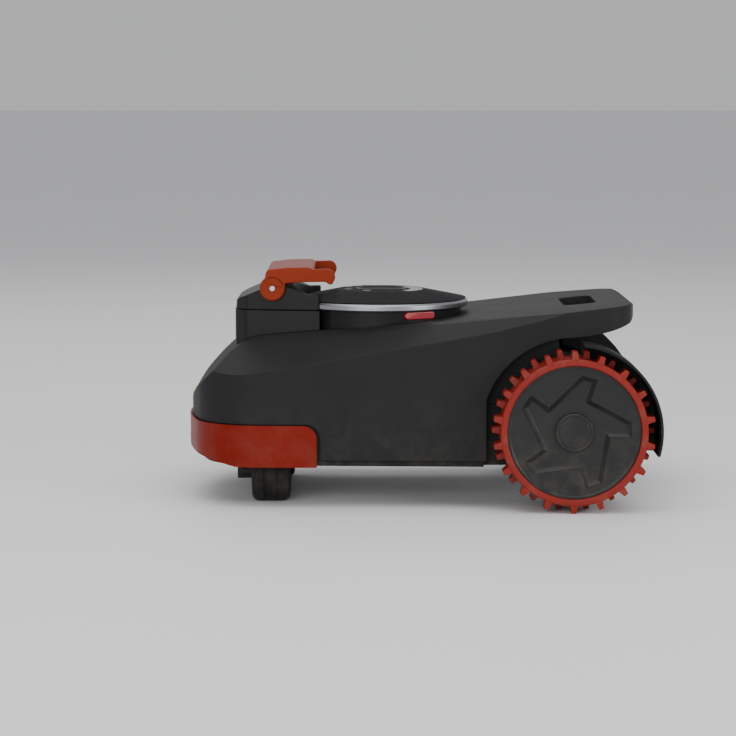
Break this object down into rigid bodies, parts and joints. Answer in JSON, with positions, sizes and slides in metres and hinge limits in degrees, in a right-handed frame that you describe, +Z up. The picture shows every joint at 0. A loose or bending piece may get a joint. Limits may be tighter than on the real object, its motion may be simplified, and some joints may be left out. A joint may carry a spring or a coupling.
{
  "type": "robotic lawn mower",
  "caption": "Wheeled robotic lawn mower with sprung front bumper, camera pod, round turret, lugged drive wheels, swivelling casters and a height-adjustable blade disc.",
  "frame": {"origin": "ground under the middle of the mower's bounding box", "axes": "+X is the direction of travel, +Y the mower's left, +Z up"},
  "size_m": [0.545, 0.385, 0.2705],
  "materials": {
    "charcoal": "fine grain, satin",
    "chassis_black": "moulded grain",
    "pod_black": "fine grain",
    "gloss_black": "polished",
    "knob_black": "satin",
    "ring_metal": "bright brushed",
    "display_glass": "dark tinted",
    "orange_bumper": "soft satin",
    "orange_tyre": "moulded rubber",
    "orange_yoke": "satin",
    "hub_black": "satin",
    "caster_rubber": "moulded",
    "bracket_black": "powder coat",
    "stop_red": "glossy",
    "button_grey": "satin",
    "steel": "machined",
    "motor_metal": "cast",
    "contact_brass": "polished",
    "bush_white": "natural",
    "board_green": "solder mask",
    "battery_grey": "shrink wrap"
  },
  "bodies": {
    "body": {"upper_shell": "charcoal", "chassis_tub": "chassis_black", "rear_housing": "chassis_black", "charging_contacts": "contact_brass", "turret_neck": "pod_black", "turret_ring": "ring_metal", "turret_cap": "gloss_black", "display_window": "display_glass", "antenna_board": "board_green", "pod_base": "pod_black", "pod_cover": "pod_black", "camera_window": "display_glass", "camera_module": "chassis_black", "yoke_pins": "steel", "axle_bearings": "steel", "drive_motors": "motor_metal", "caster_bushes": "bush_white", "lift_guide_posts": "steel", "battery_pack": "battery_grey", "battery_door": "chassis_black", "main_board": "board_green", "case_screws": "steel", "mudguard_left": "chassis_black", "mudguard_right": "chassis_black"},
    "drive_wheel_left": {"tyre_left": "orange_tyre", "wheel_hub_left": "hub_black", "hub_cap_left": "hub_black", "wheel_axle_left": "steel"},
    "caster_fork_left": {"caster_bracket_left": "bracket_black", "caster_axle_left": "steel", "caster_stem_left": "steel"},
    "caster_roller_left": {"caster_wheel_left": "caster_rubber"},
    "drive_wheel_right": {"tyre_right": "orange_tyre", "wheel_hub_right": "hub_black", "hub_cap_right": "hub_black", "wheel_axle_right": "steel"},
    "caster_fork_right": {"caster_bracket_right": "bracket_black", "caster_axle_right": "steel", "caster_stem_right": "steel"},
    "caster_roller_right": {"caster_wheel_right": "caster_rubber"},
    "bumper": {"front_bumper": "orange_bumper"},
    "height_dial": {"height_knob": "knob_black", "lead_screw": "steel"},
    "carriage": {"cutter_carriage": "chassis_black", "blade_motor": "motor_metal"},
    "cutter": {"cutting_disc": "steel", "motor_shaft": "steel", "blade_screws": "steel"},
    "skid": {"skid_plate": "chassis_black"},
    "blade_arm_1": {"blade_1": "steel"},
    "blade_arm_2": {"blade_2": "steel"},
    "blade_arm_3": {"blade_3": "steel"},
    "button_1": {"control_button_1": "button_grey"},
    "button_2": {"control_button_2": "button_grey"},
    "button_3": {"control_button_3": "button_grey"},
    "button_4": {"control_button_4": "button_grey"},
    "stop_left": {"stop_pad_left": "stop_red"},
    "stop_right": {"stop_pad_right": "stop_red"},
    "yoke_arm": {"yoke": "orange_yoke"}
  },
  "joints": [
    {"name": "drive_wheel_left_spin", "type": "hinge", "parent": "body", "child": "drive_wheel_left", "pos_m": [-0.172, 0.168, 0.092], "axis": [0, 1, 0], "continuous": true},
    {"name": "caster_left_swivel", "type": "hinge", "parent": "body", "child": "caster_fork_left", "pos_m": [0.173, 0.07, 0.09], "axis": [0, 0, 1], "continuous": true},
    {"name": "caster_left_roll", "type": "hinge", "parent": "caster_fork_left", "child": "caster_roller_left", "pos_m": [0.173, 0.092, 0.036], "axis": [1, 0, 0], "continuous": true},
    {"name": "drive_wheel_right_spin", "type": "hinge", "parent": "body", "child": "drive_wheel_right", "pos_m": [-0.172, -0.168, 0.092], "axis": [0, 1, 0], "continuous": true},
    {"name": "caster_right_swivel", "type": "hinge", "parent": "body", "child": "caster_fork_right", "pos_m": [0.173, -0.07, 0.09], "axis": [0, 0, 1], "continuous": true},
    {"name": "caster_right_roll", "type": "hinge", "parent": "caster_fork_right", "child": "caster_roller_right", "pos_m": [0.173, -0.092, 0.036], "axis": [1, 0, 0], "continuous": true},
    {"name": "bumper_push", "type": "slide", "parent": "body", "child": "bumper", "axis": [-1, 0, 0], "range_m": [0, 0.003], "stiffness_N_per_m": 2000, "springref_m": -0.002},
    {"name": "height_dial_turn", "type": "hinge", "parent": "body", "child": "height_dial", "pos_m": [0.045, 0, 0.242], "axis": [0, 0, 1], "range_deg": [-720, 0]},
    {"name": "cutter_lift", "type": "slide", "parent": "body", "child": "carriage", "axis": [0, 0, 1], "range_m": [-0.04, 0]},
    {"name": "cutter_spin", "type": "hinge", "parent": "carriage", "child": "cutter", "pos_m": [0.01, 0, 0.0595], "axis": [0, 0, 1], "continuous": true},
    {"name": "skid_spin", "type": "hinge", "parent": "cutter", "child": "skid", "pos_m": [0.01, 0, 0.051], "axis": [0, 0, 1], "continuous": true},
    {"name": "blade_1_swing", "type": "hinge", "parent": "cutter", "child": "blade_arm_1", "pos_m": [0.041, 0.05369, 0.0572], "axis": [0, 0, 1], "continuous": true},
    {"name": "blade_2_swing", "type": "hinge", "parent": "cutter", "child": "blade_arm_2", "pos_m": [-0.052, 0, 0.0572], "axis": [0, 0, 1], "continuous": true},
    {"name": "blade_3_swing", "type": "hinge", "parent": "cutter", "child": "blade_arm_3", "pos_m": [0.041, -0.05369, 0.0572], "axis": [0, 0, 1], "continuous": true},
    {"name": "button_1_press", "type": "slide", "parent": "body", "child": "button_1", "axis": [0, 0, -1], "range_m": [0, 0.001], "stiffness_N_per_m": 600, "springref_m": -0.0008},
    {"name": "button_2_press", "type": "slide", "parent": "body", "child": "button_2", "axis": [0, 0, -1], "range_m": [0, 0.001], "stiffness_N_per_m": 600, "springref_m": -0.0008},
    {"name": "button_3_press", "type": "slide", "parent": "body", "child": "button_3", "axis": [0, 0, -1], "range_m": [0, 0.001], "stiffness_N_per_m": 600, "springref_m": -0.0008},
    {"name": "button_4_press", "type": "slide", "parent": "body", "child": "button_4", "axis": [0, 0, -1], "range_m": [0, 0.001], "stiffness_N_per_m": 600, "springref_m": -0.0008},
    {"name": "stop_left_press", "type": "slide", "parent": "body", "child": "stop_left", "axis": [0.4648, -0.8854, 0], "range_m": [0, 0.0025], "stiffness_N_per_m": 1500, "springref_m": -0.001},
    {"name": "stop_right_press", "type": "slide", "parent": "body", "child": "stop_right", "axis": [0.4648, 0.8854, 0], "range_m": [0, 0.0025], "stiffness_N_per_m": 1500, "springref_m": -0.001},
    {"name": "yoke_lift", "type": "hinge", "parent": "body", "child": "yoke_arm", "pos_m": [0.172, 0, 0.246], "axis": [0, 1, 0], "range_deg": [0, 65]}
  ],
  "couplings": [
    {"joint": "height_dial_turn", "follows": "cutter_lift", "rad_per_m": 314.16}
  ]
}
